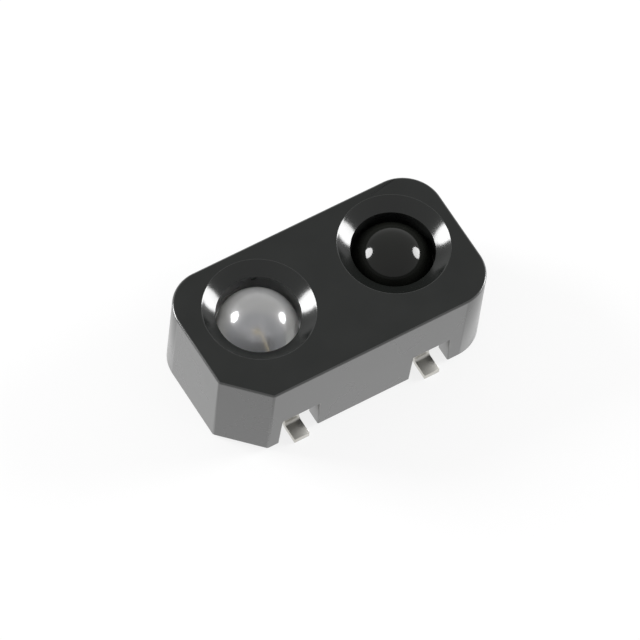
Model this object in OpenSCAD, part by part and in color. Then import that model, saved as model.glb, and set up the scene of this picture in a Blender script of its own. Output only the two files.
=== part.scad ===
// Reflective optical sensor: an infrared emitter and a phototransistor, each moulded in
// epoxy with its own dome lens, side by side in one black housing that has a polished
// well round each lens and a septum between them.
// Millimetres. +X runs from the emitter to the detector, -Y is the side with the
// chamfered corner, and +Z is the way the lenses look. The origin is the middle of the
// footprint, on the plane that the four solder feet stand on.

/* [Housing] */
// Length of the housing
body_l = 7.0; // [6.8:0.1:8]
// Width of the housing, without the feet
body_w = 3.7; // [3.6:0.1:4.4]
// Height of the housing, from its open underside to its top face
body_h = 2.4; // [2.2:0.05:3]
// Thickness of the side and end walls
wall = 0.4; // [0.3:0.02:0.44]
// Thickness of the top
roof = 0.4; // [0.34:0.02:0.6]
// Radius of the three rounded corners
corner_r = 0.95; // [0.6:0.05:1.1]
// Leg of the chamfered corner, measured along each side
chamfer = 0.92; // [0.6:0.02:1.1]
// Thickness of the septum between the two pockets
septum = 0.5; // [0.3:0.05:0.8]
// Wall of the sleeve round each lens bore, under the top
sleeve_wall = 0.25; // [0.15:0.05:0.35]
// Width of the ribs that hold the lens mouldings endways
rib_w = 0.2; // [0.12:0.02:0.4]
// Distance between the two ribs on one face
ribs_apart = 1.3; // [0.8:0.05:1.6]

/* [Wells] */
// Distance between the two lens axes
lens_pitch = 3.6; // [3.5:0.02:3.7]
// Shift of both lens axes towards the detector end
lens_shift_x = 0.1; // [0:0.02:0.14]
// Shift of both lens axes away from the chamfered side
lens_shift_y = 0.3; // [0.2:0.02:0.34]
// Radius of a well at the top face
well_rim_r = 1.32; // [1.2:0.02:1.4]
// Depth of a well, down to the lens bore
well_depth = 0.25; // [0.2:0.01:0.4]
// Hollow of the well's concave wall, under a straight cone
well_sag = 0.008; // [0.005:0.001:0.03]

/* [Lens mouldings] */
// Radius of a dome
dome_r = 0.97; // [0.9:0.01:1.02]
// Height of a dome's top over the housing's top face
dome_rise = 0.06; // [0:0.01:0.2]
// Clearance round a dome in its bore
bore_gap = 0.02; // [0.01:0.005:0.05]
// Step from a dome's foot to the edge of its flange
flange_step = 0.1; // [0.06:0.01:0.12]
// Length of moulding past the flange at each end
block_rim = 0.03; // [0.01:0.01:0.05]
// Epoxy under the lead frame
underfill = 0.45; // [0.3:0.05:0.7]
// Clearance between a moulding and the pocket's walls
pocket_gap = 0.05; // [0.02:0.01:0.08]

/* [Leads] */
// Distance from the middle of the housing to each pair of leads
lead_x = 1.75; // [1.65:0.01:1.8]
// Width of a lead
lead_w = 0.4; // [0.3:0.02:0.5]
// Thickness of the lead frame
lead_t = 0.15; // [0.1:0.01:0.2]
// Reach of a foot past the housing's side
foot_out = 0.15; // [0.05:0.01:0.5]
// Radius inside a lead's upper bend
knee_r = 0.08; // [0.05:0.01:0.1]
// Radius inside a lead's lower bend, over the foot
ankle_r = 0.08; // [0.05:0.01:0.12]
// Slope of a lead's leg outwards from upright, in degrees
leg_slope = 8; // [4:0.5:9]
// Clearance between a lead's upper bend and the pocket's wall
leg_gap = 0.05; // [0.04:0.01:0.08]
// Straight length of a lead between the moulding and its upper bend
lead_stub = 0.05; // [0.02:0.01:0.08]
// Height of the housing's underside over the plane of the feet
standoff = 0.04; // [0.02:0.01:0.1]
// Clearance beside a lead in its notch, at the notch's top
notch_side = 0.28; // [0.1:0.02:0.34]
// Extra half width of a notch at its mouth
notch_flare = 0.04; // [0.01:0.01:0.1]
// Height of a notch
notch_h = 0.95; // [0.6:0.05:1.1]

/* [Inside the mouldings] */
// Depth of the lead frame's top under a dome's centre
frame_drop = 0.17; // [0.14:0.01:0.25]
// Epoxy between the flange's underside and the leads
lead_cover = 0.04; // [0.02:0.01:0.06]
// Radius of the round pad under each chip
pad_r = 0.56; // [0.56:0.01:0.66]
// Gap between a pad and the bonding tab
tab_gap = 0.1; // [0.06:0.01:0.16]
// Radius of the reflector cup's floor
cup_floor_r = 0.38; // [0.3:0.01:0.42]
// Radius of the reflector cup's rim
cup_rim_r = 0.54; // [0.48:0.01:0.55]
// Depth of the reflector cup
cup_depth = 0.1; // [0.06:0.01:0.14]
// Side of the emitter chip
emitter_chip = 0.32; // [0.24:0.02:0.36]
// Side of the detector chip
detector_chip = 0.6; // [0.4:0.02:0.66]
// Thickness of the chips
chip_t = 0.18; // [0.12:0.01:0.24]
// Thickness of the adhesive under a chip
bond_t = 0.02; // [0.01:0.005:0.04]
// Width of adhesive that shows beside a chip
bond_rim = 0.03; // [0.01:0.01:0.05]
// Diameter of the gold wire
wire_d = 0.04; // [0.03:0.005:0.05]
// Radius of the ball bond on a chip
ball_r = 0.055; // [0.04:0.005:0.07]
// Thickness of the ball and stitch bonds
ball_t = 0.02; // [0.015:0.005:0.03]
// Straight rise of the wire over its ball bond
wire_neck = 0.06; // [0.02:0.01:0.1]
// Radius of the wire's bend over the chip
wire_bend = 0.1; // [0.06:0.01:0.14]
// Distance from the tab's end to the wire's stitch bond
stitch_in = 0.1; // [0.06:0.01:0.2]

/* [Hidden] */
$fn = 64;

over = 0.05;         // how far a cutter runs past the face that it opens
root_bite = 0.1;     // how far a rib or sleeve runs into the wall that carries it

emitter_x = lens_shift_x - lens_pitch / 2;
detector_x = lens_shift_x + lens_pitch / 2;
lens_y = lens_shift_y;

// Levels, from the top face down
top_z = standoff + body_h;
dome_z = top_z + dome_rise - dome_r;
frame_z = dome_z - frame_drop;
frame_under_z = frame_z - lead_t;
block_z = frame_under_z - underfill;
flange_t = frame_drop - lead_cover;
cup_floor_z = frame_z - cup_depth;

// The bore takes its size from the dome, and the sleeve from the bore
bore_r = dome_r + bore_gap;
sleeve_r = bore_r + sleeve_wall;
flange_r = dome_r + flange_step;

// Widths, from the housing's wall inwards
pocket_half_w = body_w / 2 - wall;
pocket_half_l = body_l / 2 - wall;
leg_outer = pocket_half_w - leg_gap;
leg_inner = leg_outer - lead_t;
knee_y = leg_inner - knee_r;
block_half_w = knee_y - lead_stub;
block_half_l = flange_r + block_rim;
foot_end = body_w / 2 + foot_out;

tab_y = lens_y - pad_r - tab_gap;
stitch_y = tab_y - stitch_in;

// Plan of the housing, drawn in by inset on every side
module plan(inset) {
  l = body_l / 2 - inset;
  w = body_w / 2 - inset;
  r = max(corner_r - inset, over);
  cut = chamfer + inset * (sqrt(2) - 2);
  difference() {
    union() {
      translate([-l, r - w]) square([2 * l, 2 * (w - r)]);
      translate([r - l, -w]) square([2 * (l - r), 2 * w]);
      translate([-l, -w]) square(r);
      for (c = [[1, -1], [1, 1], [-1, 1]])
        translate([c[0] * (l - r), c[1] * (w - r)]) circle(r);
    }
    polygon([[-l - over, -w - over], [cut - l + over, -w - over], [-l - over, cut - w + over]]);
  }
}

// Half section of a well: concave from the bore out to the rim, and open above it
module well_section() {
  run = well_rim_r - bore_r;
  chord = sqrt(pow(run, 2) + pow(well_depth, 2));
  arc_r = (pow(chord / 2, 2) + pow(well_sag, 2)) / (2 * well_sag);
  lean = atan2(well_depth, run);
  up = arc_r - well_sag;
  mid = [(bore_r + well_rim_r) / 2, -well_depth / 2];
  intersection() {
    union() {
      translate([mid[0] - up * sin(lean), mid[1] + up * cos(lean)]) circle(arc_r);
      translate([0, -well_depth]) square([bore_r, well_depth + over]);
    }
    union() {
      translate([0, -well_depth]) square([well_rim_r, well_depth]);
      square([well_rim_r, over]);
    }
  }
}

// One well with the lens bore under it, as a cutter
module well(x) {
  translate([x, lens_y, top_z]) rotate_extrude() well_section();
  translate([x, lens_y, dome_z - over]) cylinder(r = bore_r, h = top_z - dome_z);
}

// The four openings in the side walls, a little wider at the mouth
module notch(x) {
  top = lead_w / 2 + notch_side;
  mouth = top + notch_flare;
  translate([x, 0, standoff])
    rotate([90, 0, 0])
      linear_extrude(body_w + 2 * over, center = true)
        polygon([[-mouth, -over], [mouth, -over], [mouth, 0], [top, notch_h], [-top, notch_h], [-mouth, 0]]);
}

// Ribs from the pocket's end wall at from_x to the end of a moulding at to_x
module ribs(from_x, to_x) {
  way = sign(to_x - from_x);
  x0 = min(from_x - way * root_bite, to_x);
  x1 = max(from_x - way * root_bite, to_x);
  for (s = [-1, 1])
    translate([x0, s * ribs_apart / 2 - rib_w / 2, block_z])
      cube([x1 - x0, rib_w, top_z - roof / 2 - block_z]);
}

module housing() {
  septum_x = lens_shift_x;
  color("#2b2d2e") difference() {
    union() {
      difference() {
        translate([0, 0, standoff]) linear_extrude(body_h) plan(0);
        translate([0, 0, standoff - over]) linear_extrude(body_h - roof + over) plan(wall);
      }
      translate([septum_x - septum / 2, -pocket_half_w - root_bite, standoff])
        cube([septum, 2 * (pocket_half_w + root_bite), body_h - roof / 2]);
      for (x = [emitter_x, detector_x])
        translate([x, lens_y, dome_z]) cylinder(r = sleeve_r, h = top_z - roof / 2 - dome_z);
      ribs(-pocket_half_l, emitter_x - block_half_l);
      ribs(septum_x - septum / 2, emitter_x + block_half_l);
      ribs(septum_x + septum / 2, detector_x - block_half_l);
      ribs(pocket_half_l, detector_x + block_half_l);
    }
    well(emitter_x);
    well(detector_x);
    notch(-lead_x);
    notch(lead_x);
  }
}

// A lens moulding without what is embedded in it
module moulding(x) {
  intersection() {
    union() {
      translate([x - block_half_l, -block_half_w, block_z])
        cube([2 * block_half_l, 2 * block_half_w, dome_z - block_z]);
      translate([x, lens_y, dome_z - flange_t]) cylinder(r = flange_r, h = flange_t);
    }
    translate([0, 0, block_z]) linear_extrude(dome_z - block_z) plan(wall + pocket_gap);
  }
  translate([x, lens_y, dome_z])
    intersection() {
      sphere(dome_r);
      translate([-dome_r, -dome_r, 0]) cube([2 * dome_r, 2 * dome_r, dome_r]);
    }
}

// Part of a ring as thick as the lead frame, between the angles a0 and a1
module bend(r, a0, a1) {
  intersection() {
    difference() {
      circle(r + lead_t);
      circle(r);
    }
    rotate(a0) square(r + lead_t);
    rotate(a1 - 90) square(r + lead_t);
  }
}

// Side view of a formed lead, outwards to the right: run, knee, sloping leg, ankle and foot
module lead_side_view(inner_y) {
  knee_z = frame_under_z - knee_r;
  bends = knee_r + lead_t + ankle_r;
  leg_l = (knee_z - lead_t - ankle_r + bends * sin(leg_slope)) / cos(leg_slope);
  foot_l = foot_end - knee_y - bends * cos(leg_slope) - leg_l * sin(leg_slope);
  translate([inner_y, frame_under_z]) square([knee_y - inner_y, lead_t]);
  translate([knee_y, knee_z]) {
    bend(knee_r, leg_slope, 90);
    rotate(leg_slope) {
      translate([knee_r, -leg_l]) square([lead_t, leg_l]);
      translate([bends, -leg_l]) {
        bend(ankle_r, 180, 270 - leg_slope);
        rotate(180 - leg_slope) translate([-foot_l, ankle_r]) square([foot_l, lead_t]);
      }
    }
  }
}

// A formed lead at x that starts inner_y from the middle, on the back or the front side
module formed_lead(x, inner_y, back) {
  mirror([0, back ? 0 : 1, 0])
    translate([x - lead_w / 2, 0, 0])
      rotate([90, 0, 90])
        linear_extrude(lead_w) lead_side_view(inner_y);
}

// A formed lead on the back that stops under the rim of the round pad at pad_x
module padded_lead(x, pad_x) {
  difference() {
    formed_lead(x, lens_y, true);
    translate([pad_x, lens_y, frame_under_z - over]) cylinder(r = (cup_rim_r + pad_r) / 2, h = lead_t + 2 * over);
  }
}

// The emitter's pad is drawn down into a reflector cup of the same thickness
module emitter_cathode_lead() {
  half_top = [[0, cup_floor_z], [cup_floor_r, cup_floor_z], [cup_rim_r, frame_z], [pad_r, frame_z]];
  half_under = [for (i = [len(half_top) - 1:-1:0]) half_top[i] - [0, lead_t]];
  color("#b9bcc0") {
    translate([emitter_x, lens_y, 0]) rotate_extrude() polygon(concat(half_top, half_under));
    padded_lead(-lead_x, emitter_x);
  }
}

module emitter_anode_lead() {
  color("#b9bcc0") formed_lead(-lead_x, -tab_y, false);
}

module detector_collector_lead() {
  color("#b9bcc0") {
    translate([detector_x, lens_y, frame_under_z]) cylinder(r = pad_r, h = lead_t);
    padded_lead(lead_x, detector_x);
  }
}

module detector_emitter_lead() {
  color("#b9bcc0") formed_lead(lead_x, -tab_y, false);
}

// Square adhesive layer with its chip on it
module die_bond(x, side, z) {
  s = side + 2 * bond_rim;
  translate([x - s / 2, lens_y - s / 2, z]) cube([s, s, bond_t]);
}

module die(x, side, z) {
  translate([x - side / 2, lens_y - side / 2, z + bond_t]) cube([side, side, chip_t]);
}

module emitter_die_bond() {
  color("#9a9c9e") die_bond(emitter_x, emitter_chip, cup_floor_z);
}

module detector_die_bond() {
  color("#9a9c9e") die_bond(detector_x, detector_chip, frame_z);
}

module emitter_chip_die() {
  color("#5b5f73") die(emitter_x, emitter_chip, cup_floor_z);
}

module detector_chip_die() {
  color("#3c4152") die(detector_x, detector_chip, frame_z);
}

// Gold wire from a ball on the chip at [x, lens_y, z] to a stitch on the tab at tab_x:
// a straight neck, a bend and a straight run that leaves the bend on its tangent
module bond_wire(x, z, tab_x) {
  across = tab_x - x;
  along = stitch_y - lens_y;
  span = sqrt(pow(across, 2) + pow(along, 2));
  r = wire_d / 2;
  bend_z = ball_t + wire_neck;
  stitch_z = frame_z - z + r;
  drop = bend_z - stitch_z;
  reach = sqrt(pow(span - wire_bend, 2) + pow(drop, 2));
  run = sqrt(pow(reach, 2) - pow(wire_bend, 2));
  dive = atan2(drop, span - wire_bend) + asin(wire_bend / reach);
  translate([x, lens_y, z]) {
    cylinder(r = ball_r, h = ball_t);
    rotate([0, 0, atan2(along, across)]) {
      translate([0, 0, ball_t / 2]) cylinder(r = r, h = bend_z - ball_t / 2);
      translate([wire_bend, 0, bend_z])
        rotate([90, 0, 0]) {
          rotate([0, 0, 90 - dive])
            rotate_extrude(angle = 90 + dive) translate([wire_bend, 0]) circle(r);
          rotate([0, 0, -dive]) translate([0, wire_bend, 0]) rotate([0, 90, 0]) cylinder(r = r, h = run);
        }
      translate([span, 0, frame_z - z]) cylinder(r = ball_r, h = ball_t);
    }
  }
}

module emitter_bond_wire() {
  color("#d8b04a") bond_wire(emitter_x, cup_floor_z + bond_t + chip_t, -lead_x);
}

module detector_bond_wire() {
  color("#d8b04a") bond_wire(detector_x, frame_z + bond_t + chip_t, lead_x);
}

module emitter_lens() {
  color("#dfe4ea") difference() {
    moulding(emitter_x);
    emitter_cathode_lead();
    emitter_anode_lead();
    emitter_die_bond();
    emitter_chip_die();
    emitter_bond_wire();
  }
}

module detector_lens() {
  color("#17171a") difference() {
    moulding(detector_x);
    detector_collector_lead();
    detector_emitter_lead();
    detector_die_bond();
    detector_chip_die();
    detector_bond_wire();
  }
}

housing();
emitter_lens();
detector_lens();
emitter_cathode_lead();
emitter_anode_lead();
detector_collector_lead();
detector_emitter_lead();
emitter_chip_die();
detector_chip_die();
emitter_die_bond();
detector_die_bond();
emitter_bond_wire();
detector_bond_wire();
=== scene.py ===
import math

import bmesh
import bpy
from mathutils import Matrix, Vector


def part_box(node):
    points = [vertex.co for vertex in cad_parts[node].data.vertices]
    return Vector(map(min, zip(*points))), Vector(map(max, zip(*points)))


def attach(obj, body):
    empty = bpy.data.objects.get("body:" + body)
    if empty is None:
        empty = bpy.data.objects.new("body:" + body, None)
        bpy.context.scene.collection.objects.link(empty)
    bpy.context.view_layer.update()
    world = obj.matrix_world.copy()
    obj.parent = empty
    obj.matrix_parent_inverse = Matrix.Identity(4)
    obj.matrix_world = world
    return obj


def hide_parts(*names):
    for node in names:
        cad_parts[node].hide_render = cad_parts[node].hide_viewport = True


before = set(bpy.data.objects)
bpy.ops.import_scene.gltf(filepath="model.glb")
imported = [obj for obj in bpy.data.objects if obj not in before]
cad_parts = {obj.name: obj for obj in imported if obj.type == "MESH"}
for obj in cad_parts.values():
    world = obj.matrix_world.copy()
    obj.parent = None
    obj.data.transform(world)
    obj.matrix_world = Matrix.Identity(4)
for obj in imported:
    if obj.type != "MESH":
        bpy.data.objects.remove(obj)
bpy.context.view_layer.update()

mm = 0.001            # meshes are drawn in millimetres and brought to metres when a piece is finished
tiny = 1e-4           # millimetres, for merging points and telling faces apart
softenedFrom = 28     # degrees between two faces from which their edge is softened
smoothUpTo = 35       # degrees between two faces up to which they shade as one surface
print("frame loaded:", len(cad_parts), "nodes")


# Small helpers for drawing in millimetres

def boxMm(node):
    low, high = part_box(node)
    return low / mm, high / mm


def addObject(name, data):
    made = bpy.data.objects.new(name, data)
    bpy.context.scene.collection.objects.link(made)
    return made


def toObject(name, bm):
    bmesh.ops.remove_doubles(bm, verts=bm.verts, dist=tiny)
    bmesh.ops.recalc_face_normals(bm, faces=bm.faces)
    mesh = bpy.data.meshes.new(name)
    bm.to_mesh(mesh)
    bm.free()
    return addObject(name, mesh)


def prism(outline, z0, z1, name="prism"):
    bm = bmesh.new()
    bottom = [bm.verts.new((x, y, z0)) for x, y in outline]
    top = [bm.verts.new((x, y, z1)) for x, y in outline]
    bm.faces.new(bottom[::-1])
    bm.faces.new(top)
    for i in range(len(outline)):
        j = (i + 1) % len(outline)
        bm.faces.new((bottom[i], bottom[j], top[j], top[i]))
    return toObject(name, bm)


def block(low, high, name="block"):
    (x0, y0, z0), (x1, y1, z1) = low, high
    return prism([(x0, y0), (x1, y0), (x1, y1), (x0, y1)], z0, z1, name)


def revolved(profile, centre, steps, name="turned"):
    # profile runs from the axis to the axis as (radius, height), so both poles close in one point
    bm = bmesh.new()
    turn = [2 * math.pi * i / steps for i in range(steps)]
    rings = []
    for radius, z in profile:
        if radius < tiny:
            rings.append([bm.verts.new((centre[0], centre[1], z))])
            continue
        rings.append([bm.verts.new((centre[0] + radius * math.cos(a), centre[1] + radius * math.sin(a), z))
                      for a in turn])
    for low, high in zip(rings, rings[1:]):
        for i in range(steps):
            j = (i + 1) % steps
            corners = [low[i % len(low)], low[j % len(low)], high[j % len(high)], high[i % len(high)]]
            corners = list(dict.fromkeys(corners))     # at a pole two of the four are the same point
            if len(corners) > 2:
                bm.faces.new(corners)
    return toObject(name, bm)


def arcPoints(centre, radius, start, end, steps):
    angles = [math.radians(start + (end - start) * i / steps) for i in range(steps + 1)]
    return [(centre[0] + radius * math.cos(a), centre[1] + radius * math.sin(a)) for a in angles]


def settle(piece):
    # turns the modifiers into plain mesh
    bpy.context.view_layer.update()
    evaluated = piece.evaluated_get(bpy.context.evaluated_depsgraph_get())
    mesh = bpy.data.meshes.new_from_object(evaluated)
    piece.modifiers.clear()
    old = piece.data
    piece.data = mesh
    bpy.data.meshes.remove(old)
    return piece


def combine(piece, others, operation):
    for other in others:
        modifier = piece.modifiers.new(operation, "BOOLEAN")
        modifier.operation = operation
        modifier.solver = "EXACT"
        modifier.object = other
    settle(piece)
    for other in others:
        bpy.data.objects.remove(other)
    return piece


def softenEdges(piece, width, segments, weightOf):
    # rounds the sharp edges by the share of width that weightOf gives them
    bm = bmesh.new()
    bm.from_mesh(piece.data)
    bmesh.ops.remove_doubles(bm, verts=bm.verts, dist=tiny)
    bmesh.ops.dissolve_degenerate(bm, edges=bm.edges, dist=tiny)
    layers = bm.edges.layers.float
    weight = layers.get("bevel_weight_edge") or layers.new("bevel_weight_edge")
    for edge in bm.edges:
        sharp = edge.is_manifold and edge.calc_face_angle() > math.radians(softenedFrom)
        edge[weight] = weightOf(edge.verts[0].co, edge.verts[1].co) if sharp else 0.0
    bm.to_mesh(piece.data)
    bm.free()
    bevel = piece.modifiers.new("edges", "BEVEL")
    bevel.width = width
    bevel.segments = segments
    bevel.limit_method = "WEIGHT"
    bevel.use_clamp_overlap = True
    return settle(piece)


def giveMaterials(piece, *names):
    piece.data.materials.clear()
    for name in names:
        piece.data.materials.append(paint[name])


def finishPiece(piece, node):
    piece.data.transform(Matrix.Scale(mm, 4))
    piece.data.shade_smooth()
    piece.data.set_sharp_from_angle(angle=math.radians(smoothUpTo))
    # large flat faces keep their own normals next to the small faces of a softened edge
    normals = piece.modifiers.new("normals", "WEIGHTED_NORMAL")
    normals.keep_sharp = True
    settle(piece)
    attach(piece, "root")
    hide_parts(node)


# Camera, placed so that the housing falls where it does in the photograph

photoView = {
    "azimuth": -38.06,          # degrees round +Z from looking along +Y
    "elevation": 59.63,
    "roll": 8.09,
    "distance": 166.67,         # mm from the housing
    "pxPerMm": 43.31,           # at that distance
    "imagePx": 640,
    "bodyCentrePx": (322.4, 340.3),   # middle of the housing's underside
    "bodyCentreZ": 0.05,        # mm
    "sensor": 36.0,             # mm, its width
    "clip": (0.005, 5.0),       # metres
}


def makeCamera(v):
    a, e, roll = (math.radians(v[k]) for k in ("azimuth", "elevation", "roll"))
    back = Vector((math.sin(a) * math.cos(e), -math.cos(a) * math.cos(e), math.sin(e)))
    level = Vector((math.cos(a), math.sin(a), 0))
    rise = back.cross(level)
    right = level * math.cos(roll) + rise * math.sin(roll)
    up = rise * math.cos(roll) - level * math.sin(roll)
    middle = v["imagePx"] / 2
    dx = (v["bodyCentrePx"][0] - middle) / v["pxPerMm"]
    dy = (v["bodyCentrePx"][1] - middle) / v["pxPerMm"]
    place = Vector((0, 0, v["bodyCentreZ"])) + back * v["distance"] - right * dx + up * dy
    data = bpy.data.cameras.new("photoCamera")
    data.sensor_width = v["sensor"]
    data.lens = v["pxPerMm"] * v["distance"] / v["imagePx"] * v["sensor"]
    data.clip_start, data.clip_end = v["clip"]
    camera = addObject("photoCamera", data)
    turn = Matrix((right, up, back)).transposed().to_4x4()
    camera.matrix_world = Matrix.Translation(place * mm) @ turn
    bpy.context.scene.camera = camera
    return right, up, back


camRight, camUp, camBack = makeCamera(photoView)
print("camera placed")


# Housing: shell, septum, sleeves, ribs, notches and the two wells

housingSizes = {
    "cornerR": 0.95, "chamfer": 0.92, "wall": 0.4, "roof": 0.4, "septum": 0.5, "sleeveWall": 0.25,
    "ribWidth": 0.2, "ribPitch": 1.3,
    "wellRimR": 1.32, "wellDepth": 0.25, "wellSag": 0.008, "boreGap": 0.02,
    "leadX": 1.75, "notchHeight": 0.95, "notchTop": 0.48, "notchMouth": 0.52,      # both half widths
    "edgeRadius": 0.055, "edgeSegments": 3, "rimShare": 0.2,       # a well's rim is softened by this share
    "cornerSteps": 24, "wellSteps": 160, "wallArcSteps": 10, "sleeveSteps": 96,
}
lensSizes = {
    "domeR": 0.97, "flangeR": 1.07, "flangeT": 0.13, "pocketGap": 0.05, "domeSteps": 160, "domeArcSteps": 48,
}
cutOver = 0.05        # how far a cutter runs past the face that it opens
rootBite = 0.1        # how far a rib or the septum runs into the wall that carries it
topSlack = 0.001      # how near a point is to the top face when it counts as on it
rimSlack = 0.01       # the same for a well's rim
skinSlack = 0.004     # the same for the outer walls


def planOutline(high, s, inset):
    # the housing's plan, drawn in by inset on every side
    l, w = high.x - inset, high.y - inset
    r = s["cornerR"] - inset
    cut = s["chamfer"] + inset * (math.sqrt(2) - 2)
    points = [(-l, cut - w), (cut - l, -w)]
    points += arcPoints((l - r, r - w), r, -90, 0, s["cornerSteps"])
    points += arcPoints((l - r, w - r), r, 0, 90, s["cornerSteps"])
    points += arcPoints((r - l, w - r), r, 90, 180, s["cornerSteps"])
    return points


def lensAxes():
    found = []
    for node in ("emitter_lens", "detector_lens"):
        low, high = boxMm(node)
        middle = (low.x + high.x) / 2
        found.append(Vector((middle, high.y - lensSizes["flangeR"], high.z - lensSizes["domeR"])))
    return found


def wellProfile(s, boreR, topZ, seatZ):
    # the wall is an arc from the bore to the rim that hangs wellSag under the straight cone
    run = s["wellRimR"] - boreR
    chord = math.hypot(run, s["wellDepth"])
    arcR = ((chord / 2) ** 2 + s["wellSag"] ** 2) / (2 * s["wellSag"])
    lean = math.atan2(s["wellDepth"], run)
    up = arcR - s["wellSag"]
    centre = ((boreR + s["wellRimR"]) / 2 - up * math.sin(lean),
              topZ - s["wellDepth"] / 2 + up * math.cos(lean))
    start = math.degrees(math.atan2(topZ - s["wellDepth"] - centre[1], boreR - centre[0]))
    end = math.degrees(math.atan2(topZ - centre[1], s["wellRimR"] - centre[0]))
    wallArc = arcPoints(centre, arcR, start, end, s["wallArcSteps"])
    bore = [(0, seatZ - cutOver), (boreR, seatZ - cutOver)]
    return bore + wallArc + [(s["wellRimR"], topZ + cutOver), (0, topZ + cutOver)]


def notchCutter(s, x, z0, halfWidth):
    mouth, top, roofZ = s["notchMouth"], s["notchTop"], z0 + s["notchHeight"]
    sides = [(-mouth, z0 - cutOver), (mouth, z0 - cutOver), (mouth, z0),
             (top, roofZ), (-top, roofZ), (-mouth, z0)]
    cutter = prism(sides, -halfWidth - cutOver, halfWidth + cutOver)
    cutter.data.transform(Matrix.Translation((x, 0, 0)) @ Matrix.Rotation(math.radians(90), 4, "X"))
    return cutter


def makeHousing(s):
    low, high = boxMm("housing")
    (emitterLow, emitterHigh), (detectorLow, detectorHigh) = boxMm("emitter_lens"), boxMm("detector_lens")
    boreR = lensSizes["domeR"] + s["boreGap"]
    sleeveR = boreR + s["sleeveWall"]
    axes = lensAxes()
    septumX = (axes[0].x + axes[1].x) / 2
    septumStart, septumEnd = septumX - s["septum"] / 2, septumX + s["septum"] / 2
    pocketL, pocketW = high.x - s["wall"], high.y - s["wall"]
    roofMid = high.z - s["roof"] / 2

    shell = prism(planOutline(high, s, 0), low.z, high.z, "sensorHousing")
    pocket = prism(planOutline(high, s, s["wall"]), low.z - cutOver, high.z - s["roof"])
    combine(shell, [pocket], "DIFFERENCE")

    added = [block((septumStart, -pocketW - rootBite, low.z), (septumEnd, pocketW + rootBite, roofMid))]
    for axis in axes:
        sleeve = [(0, axis.z), (sleeveR, axis.z), (sleeveR, roofMid), (0, roofMid)]
        added.append(revolved(sleeve, axis, s["sleeveSteps"]))
    ribEnds = [(-pocketL - rootBite, emitterLow.x), (emitterHigh.x, septumStart + rootBite),
               (septumEnd - rootBite, detectorLow.x), (detectorHigh.x, pocketL + rootBite)]
    for side in (-1, 1):
        ribY, half = side * s["ribPitch"] / 2, s["ribWidth"] / 2
        added += [block((x0, ribY - half, emitterLow.z), (x1, ribY + half, roofMid)) for x0, x1 in ribEnds]
    combine(shell, added, "UNION")

    cutters = [revolved(wellProfile(s, boreR, high.z, axis.z), axis, s["wellSteps"]) for axis in axes]
    cutters += [notchCutter(s, x, low.z, high.y) for x in (-s["leadX"], s["leadX"])]
    combine(shell, cutters, "DIFFERENCE")

    def isOnRim(co):
        onTop = co.z > high.z - topSlack
        return onTop and any(abs((co - axis).xy.length - s["wellRimR"]) < rimSlack for axis in axes)

    def edgeWeight(a, b):
        if onSkin(a, high, s) and onSkin(b, high, s):
            return 1.0
        return s["rimShare"] if isOnRim(a) and isOnRim(b) else 0.0

    softenEdges(shell, s["edgeRadius"], s["edgeSegments"], edgeWeight)
    return shell, axes, high.z


def onSkin(co, high, s):
    # true for a point on the outer side walls, chamfer and round corners
    ax, ay, r = abs(co.x), abs(co.y), s["cornerR"]
    if ax > high.x - skinSlack or ay > high.y - skinSlack:
        return True
    if co.x < 0 and co.y < 0:
        # x plus y grows about 1.5 times as fast as the distance from the chamfer
        return (-co.x - co.y) > high.x + high.y - s["chamfer"] - skinSlack * 1.5
    if ax > high.x - r and ay > high.y - r:
        return math.hypot(ax - high.x + r, ay - high.y + r) > r - skinSlack
    return False


housing, lensAxis, topZ = makeHousing(housingSizes)
print("housing built:", len(housing.data.polygons), "faces")


# Lens mouldings: block, flange and dome in one closed piece, with the inside pieces embedded in it

def makeMoulding(name, node, axis, s):
    low, high = boxMm(node)
    # the flange reaches past the block at the back only, so low.y is the block's half width
    piece = block(low, (high.x, -low.y, axis.z), name)
    seatZ = axis.z - s["flangeT"]
    flange = [(0, seatZ), (s["flangeR"], seatZ), (s["flangeR"], axis.z), (0, axis.z)]
    combine(piece, [revolved(flange, axis, s["domeSteps"])], "UNION")
    pocketPlan = planOutline(boxMm("housing")[1], housingSizes, housingSizes["wall"] + s["pocketGap"])
    combine(piece, [prism(pocketPlan, low.z, axis.z)], "INTERSECT")
    rootZ = axis.z - s["flangeT"] / 2
    domeArc = arcPoints((0, axis.z), s["domeR"], 0, 90, s["domeArcSteps"])
    domeArc[-1] = (0, axis.z + s["domeR"])
    dome = [(0, rootZ), (s["domeR"], rootZ)] + domeArc
    return combine(piece, [revolved(dome, axis, s["domeSteps"])], "UNION")


emitterLens = makeMoulding("emitterLens", "emitter_lens", lensAxis[0], lensSizes)
detectorLens = makeMoulding("detectorLens", "detector_lens", lensAxis[1], lensSizes)
print("lens mouldings built")


# Leads and bond wires: one Geometry Nodes tree sweeps a strip or a wire along a path with two bends

leadSizes = {
    "width": 0.4, "thickness": 0.15, "kneeR": 0.08, "ankleR": 0.08, "legSlope": 8.0, "legGap": 0.05,
    "edgeRadius": 0.012, "edgeSegments": 2, "padR": 0.56, "tabGap": 0.1,
    "padOverlap": 0.2,           # how much further in the flat pad's lead starts
}
cupSizes = {"floorR": 0.38, "rimR": 0.54, "depth": 0.1, "steps": 96}
wireSizes = {
    "diameter": 0.04, "neck": 0.06, "bendR": 0.1, "stitchIn": 0.1,
    "ballR": 0.055, "ballT": 0.02, "ballBulge": 1.06, "ballCrown": 0.8, "ballSteps": 32,
}
sweepSteps = {"bend": 12, "round": 16}


def treeSocket(tree, name, kind, direction="INPUT"):
    return tree.interface.new_socket(name=name, in_out=direction, socket_type=kind)


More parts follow.
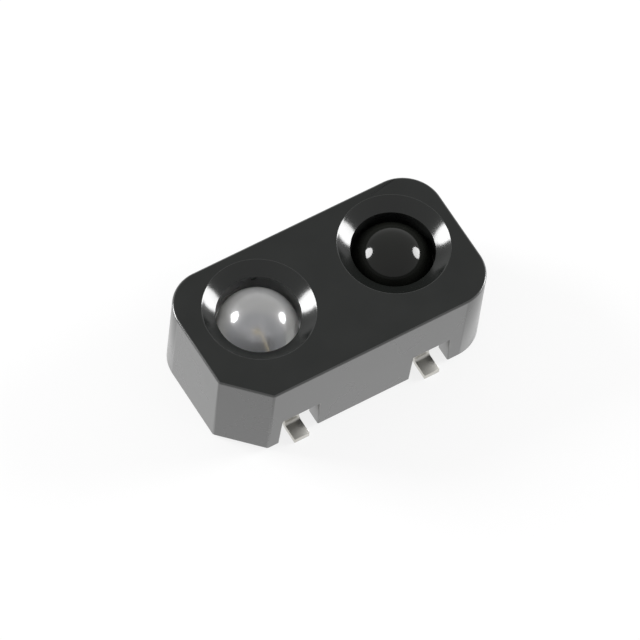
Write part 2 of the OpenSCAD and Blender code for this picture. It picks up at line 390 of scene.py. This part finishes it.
def sweepTree():
    tree = bpy.data.node_groups.new("bentSweep", "GeometryNodeTree")
    corners = ("Start", "Knee", "Ankle", "Toe")
    for name in corners:
        treeSocket(tree, name, "NodeSocketVector")
    for name in ("Width", "Thickness", "Knee Radius", "Ankle Radius"):
        treeSocket(tree, name, "NodeSocketFloat")
    treeSocket(tree, "Round", "NodeSocketBool")
    treeSocket(tree, "Finish", "NodeSocketMaterial")
    treeSocket(tree, "Geometry", "NodeSocketGeometry", "OUTPUT")
    add, link = tree.nodes.new, tree.links.new
    given = add("NodeGroupInput")
    path = add("GeometryNodeCurvePrimitiveQuadrilateral")
    path.mode = "POINTS"
    for i, name in enumerate(corners):
        link(given.outputs[name], path.inputs[f"Point {i + 1}"])
    opened = add("GeometryNodeSetSplineCyclic")
    link(path.outputs["Curve"], opened.inputs["Geometry"])
    opened.inputs["Cyclic"].default_value = False
    index = add("GeometryNodeInputIndex")
    early = add("FunctionNodeCompare")
    early.data_type = "INT"
    early.operation = "LESS_THAN"
    link(index.outputs["Index"], early.inputs[2])     # inputs 2 and 3 are the whole numbers
    early.inputs[3].default_value = 2                 # start and knee, before ankle and toe
    radius = add("GeometryNodeSwitch")
    radius.input_type = "FLOAT"
    link(early.outputs["Result"], radius.inputs["Switch"])
    link(given.outputs["Ankle Radius"], radius.inputs["False"])
    link(given.outputs["Knee Radius"], radius.inputs["True"])
    bends = add("GeometryNodeFilletCurve")
    bends.mode = "POLY"
    bends.inputs["Count"].default_value = sweepSteps["bend"]
    link(opened.outputs["Geometry"], bends.inputs["Curve"])
    link(radius.outputs["Output"], bends.inputs["Radius"])
    strip = add("GeometryNodeCurvePrimitiveQuadrilateral")
    link(given.outputs["Width"], strip.inputs["Width"])
    link(given.outputs["Thickness"], strip.inputs["Height"])
    half = add("ShaderNodeMath")
    half.operation = "MULTIPLY"
    half.inputs[1].default_value = 0.5
    link(given.outputs["Width"], half.inputs[0])
    wire = add("GeometryNodeCurvePrimitiveCircle")
    wire.inputs["Resolution"].default_value = sweepSteps["round"]
    link(half.outputs[0], wire.inputs["Radius"])
    section = add("GeometryNodeSwitch")
    section.input_type = "GEOMETRY"
    link(given.outputs["Round"], section.inputs["Switch"])
    link(strip.outputs["Curve"], section.inputs["False"])
    link(wire.outputs["Curve"], section.inputs["True"])
    sweep = add("GeometryNodeCurveToMesh")
    sweep.inputs["Fill Caps"].default_value = True
    link(bends.outputs["Curve"], sweep.inputs["Curve"])
    link(section.outputs["Output"], sweep.inputs["Profile Curve"])
    whole = add("GeometryNodeRealizeInstances")
    link(sweep.outputs["Mesh"], whole.inputs["Geometry"])
    finish = add("GeometryNodeSetMaterial")
    link(whole.outputs["Geometry"], finish.inputs["Geometry"])
    link(given.outputs["Finish"], finish.inputs["Material"])
    result = add("NodeGroupOutput")
    link(finish.outputs["Geometry"], result.inputs["Geometry"])
    return tree


def growPiece(name, tree, values):
    piece = addObject(name, bpy.data.meshes.new(name))
    modifier = piece.modifiers.new("shape", "NODES")
    modifier.node_group = tree
    for item in tree.interface.items_tree:
        if item.in_out == "INPUT" and item.name in values:
            modifier[item.identifier] = values[item.name]
    return settle(piece)


def cupProfile(s, frameZ, thickness, padR):
    # the pad is drawn down into a cup of the same thickness
    floorZ = frameZ - s["depth"]
    top = [(0, floorZ), (s["floorR"], floorZ), (s["rimR"], frameZ), (padR, frameZ)]
    return [(0, floorZ - thickness)] + [(r, z - thickness) for r, z in top[1:]] + top[::-1]


def makeLead(name, node, side, startY, x, pad, s):
    # side is 1 at the back and -1 at the front, where the chamfered corner is
    low, high = boxMm(node)
    t, slope = s["thickness"], math.radians(s["legSlope"])
    bendY = boxMm("housing")[1].y - housingSizes["wall"] - s["legGap"] - t - s["kneeR"]
    kneeY = bendY + (s["kneeR"] + t / 2) * (1 - math.sin(slope)) / math.cos(slope)
    ankleY = kneeY + (high.z - t) * math.tan(slope)
    toeY = high.y if side > 0 else -low.y
    piece = growPiece(name, sweep, {
        "Start": (x, side * startY, high.z - t / 2), "Knee": (x, side * kneeY, high.z - t / 2),
        "Ankle": (x, side * ankleY, t / 2), "Toe": (x, side * toeY, t / 2),
        "Width": s["width"], "Thickness": t, "Round": False, "Finish": paint["platedMetal"],
        "Knee Radius": s["kneeR"] + t / 2, "Ankle Radius": s["ankleR"] + t / 2})
    if pad:
        combine(piece, [pad], "UNION")
    return softenEdges(piece, s["edgeRadius"], s["edgeSegments"], lambda a, b: 1.0)


def makeWire(name, chipNode, axis, tabX, s):
    # from a ball on the chip, up a short neck and down to a stitch on the tab of the other lead
    chipTop = boxMm(chipNode)[1].z
    tabZ = boxMm("emitter_anode_lead")[1].z
    r, h = s["diameter"] / 2, s["ballT"]
    stitchY = axis.y - leadSizes["padR"] - leadSizes["tabGap"] - s["stitchIn"]
    stitch = Vector((tabX, stitchY, tabZ + r))
    ball = Vector((axis.x, axis.y, chipTop + h / 2))
    away = (stitch - ball).normalized()
    peakZ = chipTop + h + s["neck"] + s["bendR"]
    peak = Vector((axis.x, axis.y, peakZ)) + Vector((away.x, away.y, 0)) * r
    piece = growPiece(name, sweep, {
        "Start": ball, "Knee": peak, "Ankle": (peak + stitch) / 2, "Toe": stitch,
        "Width": s["diameter"], "Thickness": s["diameter"], "Round": True, "Finish": paint["goldWire"],
        "Knee Radius": s["bendR"], "Ankle Radius": 0.0})
    ends = []
    for place, z in ((ball, chipTop), (stitch, tabZ)):
        bulge, crown = s["ballR"] * s["ballBulge"], s["ballR"] * s["ballCrown"]
        profile = [(0, z), (s["ballR"], z), (bulge, z + h / 2), (crown, z + h), (0, z + h)]
        ends.append(revolved(profile, place, s["ballSteps"]))
    return combine(piece, ends, "UNION")


# Materials

def newMaterial(name):
    material = bpy.data.materials.new(name)
    material.use_nodes = True
    tree = material.node_tree
    return material, tree, tree.nodes["Principled BSDF"]


surfaceDefaults = {
    "Patch Scale": 900.0, "Grain Scale": 30000.0, "Roughness": 0.3, "Unevenness": 0.05, "Relief": 0.2,
}
reliefDepth = 2e-6         # metres
toneStops = (0.3, 0.7)     # values of the mask between which the darker tone turns into the lighter one


def surfaceGroup():
    # fine moulded or rolled surface: an uneven roughness, a colour mask and a small relief
    group = bpy.data.node_groups.new("fineSurface", "ShaderNodeTree")
    face = group.interface
    face.new_socket(name="Vector", in_out="INPUT", socket_type="NodeSocketVector")
    for name, value in surfaceDefaults.items():
        face.new_socket(name=name, in_out="INPUT", socket_type="NodeSocketFloat").default_value = value
    for name, kind in (("Roughness", "Float"), ("Mask", "Float"), ("Normal", "Vector")):
        face.new_socket(name=name, in_out="OUTPUT", socket_type="NodeSocket" + kind)
    add, link = group.nodes.new, group.links.new
    given, result = add("NodeGroupInput"), add("NodeGroupOutput")
    patches, grain = add("ShaderNodeTexNoise"), add("ShaderNodeTexNoise")
    patches.inputs["Detail"].default_value = 3.0
    grain.inputs["Detail"].default_value = 2.0
    for noise, scale in ((patches, "Patch Scale"), (grain, "Grain Scale")):
        link(given.outputs["Vector"], noise.inputs["Vector"])
        link(given.outputs[scale], noise.inputs["Scale"])
    centred = add("ShaderNodeMath")
    centred.operation = "SUBTRACT"
    centred.inputs[1].default_value = 0.5
    link(patches.outputs["Fac"], centred.inputs[0])
    rough = add("ShaderNodeMath")
    rough.operation = "MULTIPLY_ADD"
    link(centred.outputs[0], rough.inputs[0])
    link(given.outputs["Unevenness"], rough.inputs[1])
    link(given.outputs["Roughness"], rough.inputs[2])
    bump = add("ShaderNodeBump")
    bump.inputs["Distance"].default_value = reliefDepth
    link(grain.outputs["Fac"], bump.inputs["Height"])
    link(given.outputs["Relief"], bump.inputs["Strength"])
    link(rough.outputs[0], result.inputs["Roughness"])
    link(patches.outputs["Fac"], result.inputs["Mask"])
    link(bump.outputs["Normal"], result.inputs["Normal"])
    return group


def useSurface(tree, shader, values, tones=None):
    coordinates = tree.nodes.new("ShaderNodeTexCoord")
    surface = tree.nodes.new("ShaderNodeGroup")
    surface.node_tree = fineSurface
    tree.links.new(coordinates.outputs["Object"], surface.inputs["Vector"])
    for name, value in values.items():
        surface.inputs[name].default_value = value
    tree.links.new(surface.outputs["Roughness"], shader.inputs["Roughness"])
    tree.links.new(surface.outputs["Normal"], shader.inputs["Normal"])
    if not tones:
        return
    ramp = tree.nodes.new("ShaderNodeValToRGB")
    for stop, position, tone in zip(ramp.color_ramp.elements, toneStops, tones):
        stop.position = position
        stop.color = (*tone, 1)
    tree.links.new(surface.outputs["Mask"], ramp.inputs["Fac"])
    tree.links.new(ramp.outputs["Color"], shader.inputs["Base Color"])


finishes = {
    # painted shade: the housing plastic comes in three copies by face; the sides and the rest take this
    # lighter one with a coat, while the top and the well walls take darker ones below
    "satinPlastic": {
        "tones": ((0.0105, 0.0115, 0.0108), (0.0135, 0.0145, 0.0138)), "ior": 1.84, "coat": 0.55,
        "surface": {"Roughness": 0.28, "Unevenness": 0.08, "Relief": 0.2, "Grain Scale": 26000.0}},
    # painted shade: the top face's copy has a darker tone and a weaker reflection than the sides'
    "shadedTopPlastic": {
        "tones": ((0.008, 0.009, 0.0083), (0.011, 0.012, 0.0113)), "ior": 1.45,
        "surface": {"Roughness": 0.3, "Unevenness": 0.08, "Relief": 0.2, "Grain Scale": 26000.0}},
    # painted shade: the well walls' copy has a darker tone still; its lower roughness is the wall's polish
    "polishedShadedWell": {
        "tones": ((0.0065, 0.0075, 0.0068), (0.0085, 0.0095, 0.0088)), "ior": 1.54,
        "surface": {"Roughness": 0.15, "Unevenness": 0.04, "Relief": 0.12, "Grain Scale": 9000.0}},
    "darkEpoxy": {
        "tones": ((0.006, 0.0065, 0.0055), (0.008, 0.0085, 0.0072)), "ior": 1.42,
        "surface": {"Roughness": 0.09, "Unevenness": 0.02, "Relief": 0.04, "Grain Scale": 6000.0}},
    # painted light: a near-white tone for the plated silver of the pads and cup walls
    "paintedLitSilver": {
        "tones": ((0.93, 0.92, 0.88), (0.97, 0.96, 0.92)),
        "surface": {"Roughness": 0.5, "Unevenness": 0.1, "Relief": 0.5, "Grain Scale": 22000.0}},
    # painted shade: the cup floor is a darker bluish grey than the cup walls
    "shadedCupFloor": {
        "tones": ((0.54, 0.55, 0.58), (0.6, 0.61, 0.64)),
        "surface": {"Roughness": 0.5, "Unevenness": 0.1, "Relief": 0.5, "Grain Scale": 22000.0}},
    "platedMetal": {
        "tones": ((0.55, 0.54, 0.5), (0.66, 0.65, 0.62)), "metallic": 1.0,
        "surface": {"Roughness": 0.48, "Unevenness": 0.12, "Relief": 0.6, "Grain Scale": 22000.0}},
    "siliconChip": {
        "tones": ((0.05, 0.055, 0.085), (0.075, 0.08, 0.12)), "metallic": 0.6,
        "surface": {"Roughness": 0.2, "Unevenness": 0.05, "Relief": 0.1}},
    # painted light: the emitter chip's pale tone makes up for the shade on its sides
    "paintedLitEmitterChip": {
        "tones": ((0.52, 0.525, 0.56), (0.56, 0.565, 0.6)),
        "surface": {"Roughness": 0.45, "Unevenness": 0.05, "Relief": 0.1}},
    "silverAdhesive": {
        "tones": ((0.5, 0.5, 0.49), (0.6, 0.6, 0.59)), "metallic": 0.2,
        "surface": {"Roughness": 0.6, "Unevenness": 0.2, "Relief": 1.0, "Grain Scale": 40000.0}},
    "goldWire": {
        "tones": ((0.86, 0.72, 0.46), (0.9, 0.78, 0.54)), "metallic": 1.0,
        "surface": {"Roughness": 0.3, "Unevenness": 0.06, "Relief": 0.2}},
}
clearEpoxy = {
    "colour": (0.95, 0.955, 0.965), "ior": 1.55, "polish": 0.04,
    "transmission": 0.89,        # the rest is a little haze
    "surface": {"Roughness": 0.28, "Unevenness": 0.02, "Relief": 0.03, "Grain Scale": 5000.0},
}


def makeFinish(name, values):
    material, tree, shader = newMaterial(name)
    shader.inputs["Metallic"].default_value = values.get("metallic", 0.0)
    shader.inputs["IOR"].default_value = values.get("ior", 1.5)
    shader.inputs["Coat Weight"].default_value = values.get("coat", 0.0)
    shader.inputs["Coat Roughness"].default_value = values["surface"]["Roughness"]
    useSurface(tree, shader, values["surface"], values["tones"])
    return material


def makeClearEpoxy(values):
    # scattering inside blurs what shows through, and the coat is the polished surface of the dome
    material, tree, shader = newMaterial("clearEpoxy")
    shader.inputs["Base Color"].default_value = (*values["colour"], 1)
    shader.inputs["Transmission Weight"].default_value = values["transmission"]
    shader.inputs["IOR"].default_value = values["ior"]
    shader.inputs["Coat Weight"].default_value = 1.0
    shader.inputs["Coat Roughness"].default_value = values["polish"]
    useSurface(tree, shader, values["surface"])
    return material


fineSurface = surfaceGroup()
paint = {name: makeFinish(name, values) for name, values in finishes.items()}
paint["clearEpoxy"] = makeClearEpoxy(clearEpoxy)
print("materials ready")


# Dress the pieces

def paintHousing(piece):
    # the top and the well walls get darker copies of the plastic than the sides, which is painted shade
    giveMaterials(piece, "satinPlastic", "polishedShadedWell", "shadedTopPlastic")
    bottom = topZ - housingSizes["wellDepth"] - rimSlack
    reach = housingSizes["wellRimR"] + 2 * rimSlack
    for face in piece.data.polygons:
        c = face.center
        inWell = any((c - axis).xy.length < reach for axis in lensAxis)
        onWall = inWell and bottom < c.z < topZ - 2 * topSlack
        face.material_index = 1 if onWall else 2 if c.z > topZ - topSlack else 0


def paintLead(piece):
    # the pads under the chips are silver plated, the rest is tinned; the silver's near-white tone is painted
    # light, and the cup floor's darker bluish grey is painted shade
    giveMaterials(piece, "platedMetal", "paintedLitSilver", "shadedCupFloor")
    floorZ = frameZ - cupSizes["depth"]
    for face in piece.data.polygons:
        onPad = any((face.center - axis).xy.length < leadSizes["padR"] for axis in lensAxis)
        looksUp = face.normal.z > 0.2
        onFloor = abs(face.center.z - floorZ) < tiny
        face.material_index = (2 if onFloor else 1) if onPad and looksUp else 0


paintHousing(housing)
finishPiece(housing, "housing")
giveMaterials(emitterLens, "clearEpoxy")
finishPiece(emitterLens, "emitter_lens")
giveMaterials(detectorLens, "darkEpoxy")
finishPiece(detectorLens, "detector_lens")

sweep = sweepTree()
frameZ = boxMm("emitter_anode_lead")[1].z
leadX, frameT, padR = housingSizes["leadX"], leadSizes["thickness"], leadSizes["padR"]
cup = revolved(cupProfile(cupSizes, frameZ, frameT, padR), lensAxis[0], cupSizes["steps"], "cup")
padProfile = [(0, frameZ - frameT), (padR, frameZ - frameT), (padR, frameZ), (0, frameZ)]
flatPad = revolved(padProfile, lensAxis[1], cupSizes["steps"], "pad")
padEdge = lensAxis[0].y + (cupSizes["rimR"] + padR) / 2
flatPadStart = padEdge - leadSizes["padOverlap"]
tabStart = -(lensAxis[0].y - padR - leadSizes["tabGap"])
leadPieces = [
    ("emitterCathodeLead", "emitter_cathode_lead", 1, padEdge, -leadX, cup),
    ("detectorCollectorLead", "detector_collector_lead", 1, flatPadStart, leadX, flatPad),
    ("emitterAnodeLead", "emitter_anode_lead", -1, tabStart, -leadX, None),
    ("detectorEmitterLead", "detector_emitter_lead", -1, tabStart, leadX, None),
]
for name, node, side, startY, x, pad in leadPieces:
    lead = makeLead(name, node, side, startY, x, pad, leadSizes)
    paintLead(lead)
    finishPiece(lead, node)
for kind, axis, tabX in (("emitter", lensAxis[0], -leadX), ("detector", lensAxis[1], leadX)):
    wire = makeWire(kind + "BondWire", kind + "_chip_die", axis, tabX, wireSizes)
    finishPiece(wire, kind + "_bond_wire")
for node, finish in (("emitter_chip_die", "paintedLitEmitterChip"), ("detector_chip_die", "siliconChip"),
                     ("emitter_die_bond", "silverAdhesive"), ("detector_die_bond", "silverAdhesive")):
    giveMaterials(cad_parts[node], finish)
print("leads, wires and chips dressed")


# Floor, light and background

studio = {
    "floorSize": 0.6, "floorDrop": 2e-6, "floorColour": (0.86, 0.86, 0.86), "floorRoughness": 0.9,
    "cameraWhite": 0.8, "throughGlass": 0.15,        # share of plain white that such rays see on the floor
    "lampDistance": 0.075, "lampHalfAngle": 12.0,    # metres, and degrees seen from the housing
    "lamps": (("leftSoftbox", (-0.839, 0.442, 0.306), 22.0),      # camera right, up and back, and radiance
              ("rightSoftbox", (0.899, 0.402, 0.121), 19.0)),
    "sky": ((0.0, 0.9), (0.15, 0.75), (0.4, 0.56), (1.0, 0.55)),  # sine of the elevation and level there
}


def makeFloor(s):
    half, z = s["floorSize"] / 2, -s["floorDrop"]
    corners = [(-half, -half, z), (half, -half, z), (half, half, z), (-half, half, z)]
    mesh = bpy.data.meshes.new("floor")
    mesh.from_pydata(corners, [], [(0, 1, 2, 3)])
    floor = addObject("floor", mesh)
    material, tree, shader = newMaterial("paleFloor")
    shader.inputs["Base Color"].default_value = (*s["floorColour"], 1)
    shader.inputs["Roughness"].default_value = s["floorRoughness"]
    shader.inputs["Specular IOR Level"].default_value = 0.0
    glow, mix, path = (tree.nodes.new(kind) for kind in
                       ("ShaderNodeEmission", "ShaderNodeMixShader", "ShaderNodeLightPath"))
    # a ray through glass also counts as glossy, so the second step takes most of that white back
    share = path.outputs["Is Glossy Ray"]
    for ray, level in (("Is Camera Ray", s["cameraWhite"]), ("Is Transmission Ray", s["throughGlass"] - 1)):
        more = tree.nodes.new("ShaderNodeMath")
        more.operation = "MULTIPLY_ADD"
        more.use_clamp = True
        more.inputs[1].default_value = level
        tree.links.new(path.outputs[ray], more.inputs[0])
        tree.links.new(share, more.inputs[2])
        share = more.outputs[0]
    tree.links.new(share, mix.inputs[0])
    tree.links.new(shader.outputs[0], mix.inputs[1])
    tree.links.new(glow.outputs[0], mix.inputs[2])
    tree.links.new(mix.outputs[0], tree.nodes["Material Output"].inputs["Surface"])
    mesh.materials.append(material)


def makeLamp(name, direction, radiance, s):
    way = camRight * direction[0] + camUp * direction[1] + camBack * direction[2]
    width = 2 * s["lampDistance"] * math.tan(math.radians(s["lampHalfAngle"]))
    data = bpy.data.lights.new(name, "AREA")
    data.shape = "DISK"
    data.size = width
    data.energy = radiance * math.pi * math.pi * width * width / 4
    lamp = addObject(name, data)
    turn = way.to_track_quat("Z", "Y").to_matrix().to_4x4()
    lamp.matrix_world = Matrix.Translation(way * s["lampDistance"]) @ turn
    lamp.visible_camera = False


def makeSky(s):
    world = bpy.data.worlds.new("studioSky")
    bpy.context.scene.world = world
    world.use_nodes = True
    tree = world.node_tree
    tree.nodes.clear()
    add, link = tree.nodes.new, tree.links.new
    soft, white, mix, path, out = (add(kind) for kind in (
        "ShaderNodeBackground", "ShaderNodeBackground", "ShaderNodeMixShader", "ShaderNodeLightPath",
        "ShaderNodeOutputWorld"))
    direction, split, ramp = (add(kind) for kind in (
        "ShaderNodeTexCoord", "ShaderNodeSeparateXYZ", "ShaderNodeValToRGB"))
    link(direction.outputs["Generated"], split.inputs[0])
    link(split.outputs["Z"], ramp.inputs["Fac"])
    link(ramp.outputs["Color"], soft.inputs["Color"])
    stops = ramp.color_ramp.elements
    while len(stops) < len(s["sky"]):
        stops.new(0.5)
    for stop, (height, level) in zip(stops, s["sky"]):
        stop.position = height
        stop.color = (level, level, level, 1)
    link(path.outputs["Is Camera Ray"], mix.inputs[0])
    link(soft.outputs[0], mix.inputs[1])
    link(white.outputs[0], mix.inputs[2])
    link(mix.outputs[0], out.inputs["Surface"])
    white.inputs["Color"].default_value = (1, 1, 1, 1)


makeFloor(studio)
for name, direction, radiance in studio["lamps"]:
    makeLamp(name, direction, radiance, studio)
makeSky(studio)
bpy.context.scene.view_settings.view_transform = "Standard"
print("floor, lamps and sky set")
